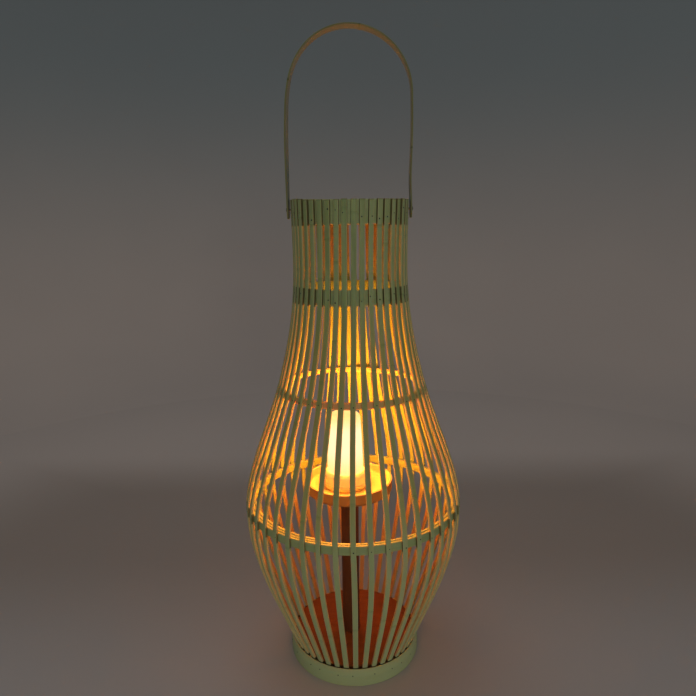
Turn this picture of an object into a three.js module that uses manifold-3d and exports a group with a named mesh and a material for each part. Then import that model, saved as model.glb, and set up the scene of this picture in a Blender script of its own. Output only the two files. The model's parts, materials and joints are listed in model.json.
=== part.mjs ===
// Bamboo floor lantern: a vase-shaped cage of upright slats nailed over hoops, a bail handle,
// and a battery lamp that stands in a tray on a post. Millimetres, +Z up, front towards -Y.
// The origin is the centre of the underside.
import * as THREE from 'three';
import { mergeVertices } from 'three/addons/utils/BufferGeometryUtils.js';
import Module from 'manifold-3d';

const wasm = await Module();
wasm.setup();

// ---- driving dimensions ----

const gap = 0.3; // clearance between neighbouring pieces

// Outer face of the slats: radius at each height, from the foot to the rim.
const outlineHeights = [3, 31, 120, 200, 288, 345, 400, 505, 600, 670, 740, 821];
const outlineRadii = [101, 113.5, 149.4, 178.1, 191.7, 184.6, 166.6, 129.9, 106.8, 97.5, 95.6, 97.2];

const slat = { count: 44, width: 8.8, thickness: 4.2, longestStep: 75 };
const slatFoot = outlineHeights[0];
const slatTop = outlineHeights.at(-1);

// Above the belly the slats lean round the cage, by half their spacing at the rim, so that the
// handle's nails pass between two slats.
const lean = { start: 304, atRim: Math.PI / slat.count };

// Hoops inside the slats: height range and radial thickness.
const hoops = {
  belly_hoop: { bottom: 289.5, top: 304, thickness: 10 },
  shoulder_hoop: { bottom: 500, top: 511, thickness: 5.5 },
  neck_hoop: { bottom: 657, top: 682.5, thickness: 5 },
  rim_hoop: { bottom: 782, top: slatTop, thickness: 5 },
};

const band = { outerRadius: 119, innerRadius: 114, height: 31, chamferHeight: 11, chamferDepth: 3 };
const disc = { bottom: 21, top: 34 };
const tray = { radius: 77.7, bottom: 313.6, floor: 323, top: 336, lip: 5 };
const postRadius = 15.8;

// The hand-set post, its tray and the loose lamp stand a little left and forward of the cage's axis.
const postPlace = { x: -6, y: -10 };
const trayPlace = { x: -7, y: -3 };
const lampPlace = { x: -13, y: -3 };

const handle = {
  outerRadius: 103, // of the arch, and half the distance over the legs
  thickness: 3,
  width: 22,
  crown: 1087,
  pivot: 807,
  endBelowPivot: 15,
};
const pin = { radius: 1.5, headRadius: 3.6, headThickness: 1.6, tip: 85.5 };

// The lamp's own heights are measured from its underside.
const lamp = {
  cupRadius: 38, // over the ring round the cup's foot
  cupHeight: 29,
  cupWall: 2.6,
  footRing: 6.5,
  wallStep: 0.6, // how far the wall above the ring stands back
  slopeStart: 22.5, // where the wall turns in towards the diffuser
  slopeBend: { rise: 3, inset: 1.2 },
  deckBottom: 19.5,
  deckTop: 22,
  deckHole: 20,
  height: 137,
  diffuserFoot: 32, // radius where the diffuser enters the cup
  diffuserTop: 27.7, // radius below its rounded shoulder
  diffuserWall: 1.6,
  shoulder: 8,
};
const bayonet = { bottom: 2.6, top: 5.2, depth: 1.3, lugWidth: 8, turn: THREE.MathUtils.degToRad(25) };
const knob = { height: 12, travel: 4, stem: 4, capWidth: 7, capHeight: 6, capDepth: 1.4 };

// ---- materials ----

const finish = (color, roughness, metalness = 0) =>
  new THREE.MeshStandardMaterial({ color, roughness, metalness });
const sagePaint = () => finish(0x8f9c7a, 0.7);
const bareWood = () => finish(0x8a5a34, 0.65);
const stainedWood = () => finish(0x6e3a22, 0.65);
const creamPlastic = () => finish(0xe6d9b4, 0.45);
const steel = () => finish(0x8d8d88, 0.4, 0.9);

// ---- helpers ----

const lantern = new THREE.Group();

function add(parent, name, geometry, material) {
  const mesh = new THREE.Mesh(geometry, material);
  mesh.name = name;
  parent.add(mesh);
  return mesh;
}

// A ring or solid of revolution about Z; the profile runs up its outer side.
function turned(profile, segments) {
  const points = profile.map(([radius, height]) => new THREE.Vector2(radius, height));
  return new THREE.LatheGeometry(points, segments).rotateX(Math.PI / 2);
}

const closed = (profile) => [...profile, profile[0]];

function toSolid(geometry) {
  const bare = geometry.clone();
  bare.deleteAttribute('normal');
  bare.deleteAttribute('uv');
  const merged = mergeVertices(bare, 1e-4);
  const index = merged.index.array;
  const triangles = [];
  for (let i = 0; i < index.length; i += 3) {
    const [a, b, c] = index.subarray(i, i + 3);
    if (a !== b && b !== c && c !== a) triangles.push(a, b, c);
  }
  return new wasm.Manifold(new wasm.Mesh({
    numProp: 3,
    vertProperties: merged.attributes.position.array,
    triVerts: new Uint32Array(triangles),
  }));
}

function toGeometry(solid) {
  const { vertProperties, triVerts } = solid.getMesh();
  const geometry = new THREE.BufferGeometry();
  geometry.setAttribute('position', new THREE.BufferAttribute(new Float32Array(vertProperties), 3));
  geometry.setIndex(new THREE.BufferAttribute(new Uint32Array(triVerts), 1));
  return geometry;
}

function subtract(geometry, ...cutters) {
  return toGeometry(cutters.reduce((solid, cutter) => solid.subtract(toSolid(cutter)), toSolid(geometry)));
}

const box = (x, y, z) => new THREE.BoxGeometry(...[x, y, z].map(([low, high]) => high - low))
  .translate(...[x, y, z].map(([low, high]) => (low + high) / 2));

const rod = (radius, low, high, segments = 16) =>
  new THREE.CylinderGeometry(radius, radius, high - low, segments)
    .rotateZ(-Math.PI / 2)
    .translate((low + high) / 2, 0, 0);

// ---- slat outline ----

const outline = new THREE.CubicInterpolant(outlineHeights, outlineRadii, 1);

// The slats bend between these heights, and stay straight across each hoop.
function slatStations() {
  const edges = [slatFoot, band.height, ...Object.values(hoops).flatMap((hoop) => [hoop.bottom, hoop.top])];
  const stations = [slatFoot];
  for (const edge of edges.slice(1)) {
    const start = stations.at(-1);
    const steps = Math.ceil((edge - start) / slat.longestStep);
    for (let i = 1; i <= steps; i++) stations.push(start + ((edge - start) * i) / steps);
  }
  return stations;
}

const stations = slatStations();
const radii = stations.map((height) => outline.evaluate(height)[0]);

// Outer radius of the slats, which are straight between stations.
function slatRadius(height) {
  const next = Math.max(1, stations.findIndex((station) => station >= height - 1e-6));
  const share = (height - stations[next - 1]) / (stations[next] - stations[next - 1]);
  return THREE.MathUtils.lerp(radii[next - 1], radii[next], share);
}

const insideSlats = (height) => slatRadius(height) - slat.thickness - gap;

// ---- cage ----

// One slat at +X: its side outline, drawn in XZ and given its width along Y, then leant.
function slatGeometry() {
  const outer = stations.map((height, i) => new THREE.Vector2(radii[i], height));
  const inner = outer.map((point) => new THREE.Vector2(point.x - slat.thickness, point.y)).reverse();
  const geometry = new THREE.ExtrudeGeometry(new THREE.Shape([...outer, ...inner]), {
    depth: slat.width,
    bevelEnabled: false,
  }).translate(0, 0, -slat.width / 2).rotateX(Math.PI / 2);

  const corners = geometry.attributes.position;
  const upright = new THREE.Vector3(0, 0, 1);
  for (let i = 0; i < corners.count; i++) {
    const corner = new THREE.Vector3().fromBufferAttribute(corners, i);
    const rise = Math.max(0, corner.z - lean.start) / (slatTop - lean.start);
    corner.applyAxisAngle(upright, rise * lean.atRim);
    corners.setXYZ(i, corner.x, corner.y, corner.z);
  }
  return geometry;
}

function addSlats() {
  const geometry = slatGeometry();
  for (let i = 0; i < slat.count; i++) {
    const name = `slat_${String(i + 1).padStart(2, '0')}`;
    add(lantern, name, geometry, sagePaint()).rotation.z = (i * 2 * Math.PI) / slat.count - Math.PI / 2;
  }
}

const pinHole = () => rod(pin.radius + gap, pin.tip - 5, handle.outerRadius + 5)
  .translate(0, 0, handle.pivot);

function hoopGeometry({ bottom, top, thickness }) {
  return turned(closed([
    [insideSlats(bottom), bottom],
    [insideSlats(top), top],
    [insideSlats(top) - thickness, top],
    [insideSlats(bottom) - thickness, bottom],
  ]), slat.count);
}

function addHoops() {
  for (const [name, hoop] of Object.entries(hoops)) {
    const ring = hoopGeometry(hoop);
    const bored = name === 'rim_hoop';
    const holes = [pinHole(), pinHole().rotateZ(Math.PI)];
    add(lantern, name, bored ? subtract(ring, ...holes) : ring, sagePaint());
  }
}

// ---- base, post and tray ----

function addBase() {
  add(lantern, 'base_band', turned(closed([
    [band.outerRadius, 0],
    [band.outerRadius, band.height - band.chamferHeight],
    [band.outerRadius - band.chamferDepth, band.height],
    [band.innerRadius, band.height],
    [band.innerRadius, 0],
  ]), 2 * slat.count), sagePaint());

  // The disc's edge leans with the slats that are nailed to it.
  add(lantern, 'base_disc', turned([
    [0, disc.bottom],
    [insideSlats(disc.bottom), disc.bottom],
    [insideSlats(disc.top), disc.top],
    [0, disc.top],
  ], slat.count), stainedWood());

  add(lantern, 'post', turned([
    [0, disc.top + gap],
    [postRadius, disc.top + gap],
    [postRadius, tray.bottom - gap],
    [0, tray.bottom - gap],
  ], 32), stainedWood()).position.set(postPlace.x, postPlace.y, 0);

  add(lantern, 'tray', turned([
    [0, tray.bottom],
    [tray.radius, tray.bottom],
    [tray.radius, tray.top],
    [tray.radius - tray.lip, tray.top],
    [tray.radius - tray.lip, tray.floor],
    [0, tray.floor],
  ], 56), bareWood()).position.set(trayPlace.x, trayPlace.y, 0);
}

// ---- handle ----

// Flat strip bent to an arch: drawn in XZ, with its ends rounded in YZ.
function handleGeometry() {
  const { outerRadius, thickness, width, crown, pivot, endBelowPivot } = handle;
  const innerRadius = outerRadius - thickness;
  const springing = crown - outerRadius;
  const end = pivot - endBelowPivot;
  const arch = new THREE.Shape();
  arch.moveTo(outerRadius, end);
  arch.absarc(0, springing, outerRadius, 0, Math.PI, false);
  arch.lineTo(-outerRadius, end);
  arch.lineTo(-innerRadius, end);
  arch.absarc(0, springing, innerRadius, Math.PI, 0, true);
  arch.lineTo(innerRadius, end);
  const strip = new THREE.ExtrudeGeometry(arch, { depth: width, bevelEnabled: false, curveSegments: 32 })
    .translate(0, 0, -width / 2)
    .rotateX(Math.PI / 2);

  const roundedSide = new THREE.Shape();
  roundedSide.moveTo(width / 2 + 1, crown + 1);
  roundedSide.lineTo(-width / 2 - 1, crown + 1);
  roundedSide.absarc(0, end + width / 2, width / 2, Math.PI, 2 * Math.PI, false);
  roundedSide.lineTo(width / 2 + 1, crown + 1);
  const blank = new THREE.ExtrudeGeometry(roundedSide, {
    depth: 3 * outerRadius,
    bevelEnabled: false,
    curveSegments: 10,
  }).translate(0, 0, -1.5 * outerRadius).rotateX(Math.PI / 2).rotateZ(Math.PI / 2);

  const shaped = toGeometry(toSolid(strip).intersect(toSolid(blank)));
  return subtract(shaped, pinHole(), pinHole().rotateZ(Math.PI));
}

// Round-headed nail from outside the handle to inside the rim hoop.
function pinGeometry() {
  const head = handle.outerRadius + gap;
  return turned([
    [0, pin.tip],
    [pin.radius, pin.tip + 1],
    [pin.radius, head],
    [pin.headRadius, head],
    [pin.headRadius * 0.8, head + pin.headThickness * 0.8],
    [0, head + pin.headThickness],
  ], 16).rotateY(Math.PI / 2).translate(0, 0, handle.pivot);
}

function addHandle() {
  add(lantern, 'handle', handleGeometry(), sagePaint());
  add(lantern, 'handle_pin_right', pinGeometry(), steel());
  add(lantern, 'handle_pin_left', pinGeometry(), steel()).rotation.z = Math.PI;
}

// ---- lamp ----

function housingGeometry() {
  const { cupRadius, cupHeight, cupWall, footRing, wallStep, slopeStart, slopeBend } = lamp;
  const { deckBottom, deckTop, deckHole, diffuserFoot } = lamp;
  const inside = cupRadius - cupWall;
  const wall = cupRadius - wallStep;
  const seat = diffuserFoot + 2 * gap;
  const seatLip = 1.2;
  const cup = turned(closed([
    [cupRadius, 0],
    [cupRadius, footRing],
    [wall, footRing + wallStep],
    [wall, slopeStart],
    [wall - slopeBend.inset, slopeStart + slopeBend.rise],
    [seat + seatLip, cupHeight],
    [seat, cupHeight],
    [seat, deckTop],
    [deckHole, deckTop],
    [deckHole, deckBottom],
    [inside, deckBottom],
    [inside, bayonet.top],
    [inside + bayonet.depth, bayonet.top],
    [inside + bayonet.depth, bayonet.bottom],
    [inside, bayonet.bottom],
    [inside, 0],
  ]), 48);
  const half = bayonet.lugWidth / 2 + gap;
  const lugEntry = (side) => box([inside - 2, inside + bayonet.depth], [-half, half], [-1, bayonet.top])
    .rotateZ(bayonet.turn + side * Math.PI);
  const slotHalf = knob.stem / 2 + gap;
  const switchSlot = box(
    [-slotHalf, slotHalf + knob.travel],
    [inside - 3, cupRadius + 3],
    [knob.height - slotHalf, knob.height + slotHalf],
  );
  return subtract(cup, lugEntry(0), lugEntry(1), switchSlot);
}

// Shell open below, tapering to a rounded shoulder.
function diffuserGeometry() {
  const { height, diffuserFoot, diffuserTop, diffuserWall, shoulder, deckTop } = lamp;
  const side = (offset) => {
    const centreRadius = diffuserTop - shoulder;
    const centreHeight = height - shoulder;
    const points = [[diffuserFoot - offset, deckTop + gap]];
    for (let i = 0; i <= 5; i++) {
      const angle = (i * Math.PI) / 10;
      const reach = shoulder - offset;
      points.push([centreRadius + reach * Math.cos(angle), centreHeight + reach * Math.sin(angle)]);
    }
    return [...points, [0, height - offset]];
  };
  return turned([...side(diffuserWall).reverse(), ...side(0)], 48);
}

// Battery pack under the deck and the LED column that rises through it.
function ledModuleGeometry() {
  const packRadius = 30;
  const columnRadius = 12;
  return turned([
    [0, bayonet.top + gap],
    [packRadius, bayonet.top + gap],
    [packRadius, lamp.deckBottom - gap],
    [lamp.deckHole - gap, lamp.deckBottom - gap],
    [lamp.deckHole - gap, lamp.deckTop + 1.5],
    [columnRadius, lamp.deckTop + 1.5],
    [columnRadius, lamp.height - 20],
    [0, lamp.height - 20],
  ], 32);
}

function batteryCoverGeometry() {
  const underside = 2 * gap;
  const floor = underside + 2;
  const rim = bayonet.top - gap;
  const radius = lamp.cupRadius - lamp.cupWall - gap;
  const dish = toSolid(turned([
    [0, underside],
    [radius, underside],
    [radius, rim],
    [radius - 2.2, rim],
    [radius - 2.2, floor],
    [0, floor],
  ], 48));
  const half = bayonet.lugWidth / 2;
  const lug = (side) => toSolid(
    box([radius - 1, radius + bayonet.depth], [-half, half], [bayonet.bottom + gap, rim])
      .rotateZ(side * Math.PI),
  );
  const coinSlot = toSolid(box([-18, 18], [-1.5, 1.5], [0, underside + 1]));
  return toGeometry(dish.add(lug(0)).add(lug(1)).subtract(coinSlot));
}

function knobGeometry() {
  const face = lamp.cupRadius - lamp.wallStep + gap;
  const half = knob.stem / 2;
  const stem = box([-half, half], [face - 5, face + 0.5], [knob.height - half, knob.height + half]);
  const cap = box(
    [-knob.capWidth / 2, knob.capWidth / 2],
    [face, face + knob.capDepth],
    [knob.height - knob.capHeight / 2, knob.height + knob.capHeight / 2],
  );
  return toGeometry(toSolid(stem).add(toSolid(cap)));
}

function addLamp() {
  const stand = new THREE.Group();
  stand.position.set(lampPlace.x, lampPlace.y, tray.floor + gap);
  lantern.add(stand);
  add(stand, 'lamp_housing', housingGeometry(), creamPlastic());
  add(stand, 'lamp_diffuser', diffuserGeometry(), creamPlastic());
  add(stand, 'led_module', ledModuleGeometry(), finish(0xf2e3b0, 0.5));
  add(stand, 'battery_cover', batteryCoverGeometry(), creamPlastic());
  add(stand, 'switch_knob', knobGeometry(), finish(0x5c564a, 0.5));
}

addSlats();
addHoops();
addBase();
addHandle();
addLamp();

export default lantern;
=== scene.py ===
"""Looks for the bamboo slat floor lantern: fine meshes and procedural materials over the CAD."""

import json
import math
import random

import bpy
import numpy as np
from mathutils import Matrix, Vector

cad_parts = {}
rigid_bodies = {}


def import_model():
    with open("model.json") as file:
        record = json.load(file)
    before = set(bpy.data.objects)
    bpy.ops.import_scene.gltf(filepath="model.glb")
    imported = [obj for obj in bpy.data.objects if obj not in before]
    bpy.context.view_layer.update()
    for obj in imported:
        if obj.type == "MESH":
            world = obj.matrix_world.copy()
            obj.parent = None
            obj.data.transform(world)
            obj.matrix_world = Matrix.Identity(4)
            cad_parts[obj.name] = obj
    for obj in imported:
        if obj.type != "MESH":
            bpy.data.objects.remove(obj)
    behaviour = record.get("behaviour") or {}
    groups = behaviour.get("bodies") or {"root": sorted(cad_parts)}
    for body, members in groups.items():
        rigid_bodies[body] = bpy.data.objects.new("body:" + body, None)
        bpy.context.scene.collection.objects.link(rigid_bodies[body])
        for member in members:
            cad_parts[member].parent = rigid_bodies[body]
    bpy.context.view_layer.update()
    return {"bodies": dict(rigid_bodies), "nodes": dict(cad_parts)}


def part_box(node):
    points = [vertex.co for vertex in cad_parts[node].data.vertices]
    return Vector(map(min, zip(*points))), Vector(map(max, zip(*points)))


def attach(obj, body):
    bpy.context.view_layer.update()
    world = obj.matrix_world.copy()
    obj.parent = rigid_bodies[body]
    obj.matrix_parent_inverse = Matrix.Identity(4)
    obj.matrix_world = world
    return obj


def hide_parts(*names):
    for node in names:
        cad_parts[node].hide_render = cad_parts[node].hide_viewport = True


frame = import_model()

MM = 0.001
TAU = 2 * math.pi
SLAT_NAMES = sorted(name for name in frame["nodes"] if name.startswith("slat_"))
HOOPS = ("belly_hoop", "shoulder_hoop", "neck_hoop", "rim_hoop")


def add_object(name, data):
    """A new object in the scene, at the origin."""
    thing = bpy.data.objects.new(name, data)
    bpy.context.scene.collection.objects.link(thing)
    return thing


def outward(angle):
    """The level unit vector that points away from the lantern's axis at an angle."""
    return Vector((math.cos(angle), math.sin(angle), 0))


# ------------------------------ camera

EYE = (-0.0055, -1.0, 0.7777)
LENS_MM = 30.5
LOOK_DOWN = math.radians(11.57)
ROLL = math.radians(-0.75)


def make_camera():
    """Eye 1 m in front of the lantern's axis, a little above its neck, looking down at it."""
    data = bpy.data.cameras.new("camera")
    data.sensor_width = 36
    data.lens = LENS_MM
    data.clip_end = 50
    camera = add_object("camera", data)
    turn = Matrix.Rotation(math.pi / 2 - LOOK_DOWN, 4, "X") @ Matrix.Rotation(ROLL, 4, "Z")
    camera.matrix_world = Matrix.Translation(EYE) @ turn
    bpy.context.scene.camera = camera


# ------------------------------ mesh helpers

def new_piece(name, vertices, faces, material, body, slot, replaced=(), smooth=45, **attributes):
    """A mesh object from arrays, riding on a body. replaced are the CAD nodes that it stands in
    for, and attributes are numbers or vectors for each vertex."""
    mesh = bpy.data.meshes.new(name)
    mesh.from_pydata([tuple(v) for v in vertices], [], faces)
    mesh.validate()
    for key, values in attributes.items():
        values = np.asarray(values, np.float32)
        kind, field = ("FLOAT", "value") if values.ndim == 1 else ("FLOAT_VECTOR", "vector")
        mesh.attributes.new(key, kind, "POINT").data.foreach_set(field, values.ravel())
    mesh.polygons.foreach_set("use_smooth", [True] * len(mesh.polygons))
    mesh.set_sharp_from_angle(angle=math.radians(smooth))
    mesh.materials.append(material)
    piece = add_object(name, mesh)
    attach(piece, body)
    if replaced:
        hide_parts(*replaced)
    return piece


def skin(rings):
    """Vertices and faces of a closed skin over rings of points; faces look out when each ring runs
    anticlockwise seen from the next ring's side."""
    rings = np.asarray(rings, float)
    count, around = rings.shape[:2]
    faces = []
    for i in range(count - 1):
        a, b = i * around, (i + 1) * around
        for j in range(around):
            k = (j + 1) % around
            faces.append((a + j, a + k, b + k, b + j))
    faces.append(tuple(range(around))[::-1])
    faces.append(tuple(range((count - 1) * around, count * around)))
    return rings.reshape(-1, 3), faces


def turned(profile, segments, centre=(0, 0), closed=True):
    """A solid of revolution about a vertical line. The profile is (radius, height), and runs up its
    outer side; where it isn't closed, it starts and ends on the axis."""
    on_axis = 1e-7
    vertices, faces = [], []
    starts = []
    for radius, height in profile:
        starts.append(len(vertices))
        if radius < on_axis:
            vertices.append((centre[0], centre[1], height))
            continue
        for i in range(segments):
            angle = TAU * i / segments
            x, y = centre[0] + radius * math.cos(angle), centre[1] + radius * math.sin(angle)
            vertices.append((x, y, height))
    rows = [(start, radius < on_axis) for start, (radius, _) in zip(starts, profile)]
    following = rows[1:] + (rows[:1] if closed else [])
    for (a, tip_below), (b, tip_above) in zip(rows, following):
        for i in range(segments):
            k = (i + 1) % segments
            if tip_below:
                faces.append((a, b + k, b + i))
            elif tip_above:
                faces.append((a + i, a + k, b))
            else:
                faces.append((a + i, a + k, b + k, b + i))
    return vertices, faces


def rounded(points, radius, steps=4):
    """An outline with its inner corners rounded; each point is (x, y) or (x, y, own radius)."""
    most_of_side = 0.45
    result = [tuple(points[0][:2])]
    for before, here, after in zip(points, points[1:], points[2:]):
        corner = Vector(here[:2])
        size = here[2] if len(here) > 2 else radius
        to_before, to_after = Vector(before[:2]) - corner, Vector(after[:2]) - corner
        reach = min(size, to_before.length * most_of_side, to_after.length * most_of_side)
        start = corner + to_before.normalized() * reach
        end = corner + to_after.normalized() * reach
        for i in range(steps + 1):
            t = i / steps
            point = start.lerp(corner, t).lerp(corner.lerp(end, t), t)
            result.append((point.x, point.y))
    result.append(tuple(points[-1][:2]))
    return result


def strip_section(width, thickness, crown, outer_edge, inner_edge):
    """Cross-section of a split bamboo strip: (across, out, side share, inner share, worn edge
    share) for each point. The outer face is slightly crowned, and the long edges are eased."""
    half = width / 2
    flat = half - outer_edge
    right = [
        (flat * share, crown * (1 - (flat * share / half) ** 2), 0, 0, worn)
        for share, worn in ((0.45, 0), (0.84, 0), (1.0, 0.8))
    ]
    for angle, side, worn in ((60, 0.3, 1), (30, 0.8, 0.8), (0, 1, 0.4)):
        a = math.radians(angle)
        right.append((flat + outer_edge * math.cos(a), outer_edge * (math.sin(a) - 1), side, 0, worn))
    for angle, side in ((0, 1), (45, 0.8), (90, 0.2)):
        a = math.radians(angle)
        across = half - inner_edge * (1 - math.cos(a))
        right.append((across, inner_edge * (1 - math.sin(a)) - thickness, side, 0.3 + angle / 130, 0))
    left = [(-across, *rest) for across, *rest in reversed(right)]
    points = [(0, crown, 0, 0, 0), *right, (0, -thickness, 0, 1, 0), *left]
    return np.array(points[::-1])


def wander(rng, size, longest):
    """A smooth random function of distance: three sine waves, the longest of the given length."""
    waves = [
        (rng.uniform(0.3, 1) * size / (i + 1), TAU * (i + 1) / longest, rng.uniform(0, TAU))
        for i in range(3)
    ]
    return lambda at: sum(high * math.sin(rate * at + phase) for high, rate, phase in waves)


# ------------------------------ material helpers

class Shader:
    """A node tree with short calls for the nodes that these materials use."""

    # The Mix node's sockets for colours.
    COLOUR_A, COLOUR_B, COLOUR_OUT = 6, 7, 2

    def __init__(self, name, roughness, **sockets):
        self.material = bpy.data.materials.new(name)
        self.material.use_nodes = True
        self.tree = self.material.node_tree
        self.surface = self.tree.nodes["Principled BSDF"]
        self.surface.inputs["Roughness"].default_value = roughness
        for socket, value in sockets.items():
            self.surface.inputs[socket.replace("_", " ")].default_value = value

    def node(self, kind, inputs=(), output=0, **settings):
        """Adds a node and gives one of its outputs."""
        node = self.tree.nodes.new("ShaderNode" + kind)
        for key, value in settings.items():
            setattr(node, key, value)
        for key, value in dict(inputs).items():
            self.plug(value, node.inputs[key])
        return node.outputs[output]

    def plug(self, value, socket):
        """Links a socket to another node's output, or sets it to a plain value."""
        if isinstance(value, bpy.types.NodeSocket):
            self.tree.links.new(value, socket)
        else:
            socket.default_value = value

    def attribute(self, name, output="Fac"):
        return self.node("Attribute", attribute_name=name, output=output)

    def place(self):
        """The point being shaded, in metres, in its object's own axes."""
        return self.node("TexCoord", output="Object")

    def axis(self, vector, letter):
        """One coordinate of a vector."""
        return self.node("SeparateXYZ", {"Vector": vector}, output=letter)

    def stretched(self, vector, x, y, z):
        """A vector scaled by axis, so that a texture on it is finer by as much."""
        return self.node("Mapping", {"Vector": vector, "Scale": (x, y, z)}, vector_type="POINT")

    def noise(self, vector, detail=3.0, rough=0.5, scale=1.0):
        settings = {"Vector": vector, "Scale": scale, "Detail": detail, "Roughness": rough}
        return self.node("TexNoise", settings)

    def ramp(self, value, low, high, to_low=0.0, to_high=1.0):
        """A smooth step: to_low where the value is at low, to_high where it is at high."""
        return self.node(
            "MapRange",
            {"Value": value, "From Min": low, "From Max": high, "To Min": to_low, "To Max": to_high},
            interpolation_type="SMOOTHSTEP",
        )

    def math(self, operation, a, b):
        return self.node("Math", {0: a, 1: b}, operation=operation)

    def times(self, a, b):
        return self.math("MULTIPLY", a, b)

    def mix(self, share, a, b):
        """Colour a, with a share of colour b over it."""
        node = self.tree.nodes.new("ShaderNodeMix")
        node.data_type = "RGBA"
        self.plug(share, node.inputs["Factor"])
        self.plug(a, node.inputs[self.COLOUR_A])
        self.plug(b, node.inputs[self.COLOUR_B])
        return node.outputs[self.COLOUR_OUT]

    def finish(self, colour, roughness=None, height=None, bump=0.2, distance=0.2 * MM):
        """Sets the surface's colour, and its roughness and bump where they're given."""
        self.plug(colour, self.surface.inputs["Base Color"])
        if roughness is not None:
            self.plug(roughness, self.surface.inputs["Roughness"])
        if height is not None:
            normal = self.node("Bump", {"Strength": bump, "Distance": distance, "Height": height})
            self.plug(normal, self.surface.inputs["Normal"])
        return self.material


def rgb(red, green, blue):
    """An opaque colour, in linear light."""
    return (red, green, blue, 1)


PAINT = rgb(0.33, 0.395, 0.155)
PAINT_DARK = rgb(0.21, 0.27, 0.095)
PAINT_PALE = rgb(0.46, 0.52, 0.25)
RAW_BAMBOO = rgb(0.60, 0.43, 0.16)
CUT_BAMBOO = rgb(0.66, 0.54, 0.34)
WORN_EDGE = rgb(0.62, 0.56, 0.30)
INNER_FACE = rgb(0.35, 0.38, 0.06)
# The next two colours are painted lamp light: a russet glow for the inner faces away from the lamp,
# and a warm tone beside it.
INNER_PAINTED_GLOW = rgb(0.38, 0.19, 0.05)
PAINTED_LAMP_WARMTH = rgb(0.363, 0.333, 0.055)
LINING = rgb(0.18, 0.25, 0.20)
GRIME = rgb(0.09, 0.10, 0.045)
# Next: one dark colour for painted shade where slats meet the hoops and band, and for soiling at
# knots.
SHADE_AND_GRIME_DARK = rgb(0.03, 0.033, 0.008)
DISC_DARK, DISC_LIGHT = rgb(0.175, 0.052, 0.010), rgb(0.245, 0.080, 0.015)
POST_DARK, POST_LIGHT = rgb(0.11, 0.038, 0.012), rgb(0.19, 0.07, 0.022)
TRAY_DARK, TRAY_LIGHT = rgb(0.60, 0.40, 0.15), rgb(0.64, 0.44, 0.18)
# Next: painted glow of lamp light bounced onto the tray's outer side.
PAINTED_BOUNCE_GLOW = rgb(0.36, 0.115, 0.012)
STEEL, STEEL_TARNISH = rgb(0.30, 0.29, 0.27), rgb(0.09, 0.055, 0.035)
BRAD, BRAD_TARNISH = rgb(0.06, 0.055, 0.045), rgb(0.02, 0.015, 0.01)
CREAM, CREAM_SHADE = rgb(0.72, 0.74, 0.42), rgb(0.66, 0.67, 0.37)
KNOB, KNOB_SHADE = rgb(0.10, 0.09, 0.08), rgb(0.07, 0.065, 0.06)
MODULE, MODULE_SHADE = rgb(0.85, 0.80, 0.66), rgb(0.80, 0.73, 0.58)
SHELL = rgb(0.55, 0.47, 0.30)
GLOW_ENDS, GLOW_MIDDLE, GLOW_FROST = rgb(1.0, 0.67, 0.22), rgb(1.0, 0.86, 0.55), rgb(1.0, 0.80, 0.40)
# Floor and wall tones carry painted light and shade: darker behind the lantern, paler further off,
# darker up the wall.
FLOOR_NEAR, FLOOR_PAINTED_SHADE = rgb(0.57, 0.51, 0.465), rgb(0.43, 0.345, 0.285)
WALL_FOOT, WALL_TOP_PAINTED_SHADE = rgb(0.655, 0.55, 0.475), rgb(0.32, 0.36, 0.36)
FLOOR_CLOUD = rgb(0.3, 0.29, 0.28)

# Heights in metres over which painted light changes the slats' and hoops' paint, from none of it to
# all of it:
# paler towards the foot, a warm tone beside the lamp, and russet inner faces above and below it.
FOOT_PAINTED_LIGHT = (0.62, 0.12)
PAINTED_LAMP_LIGHT_LOW_EDGE, PAINTED_LAMP_LIGHT_HIGH_EDGE = (0.28, 0.36), (0.68, 0.58)
PAINTED_GLOW_ABOVE, PAINTED_GLOW_BELOW = (0.67, 0.73), (0.28, 0.22)


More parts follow.
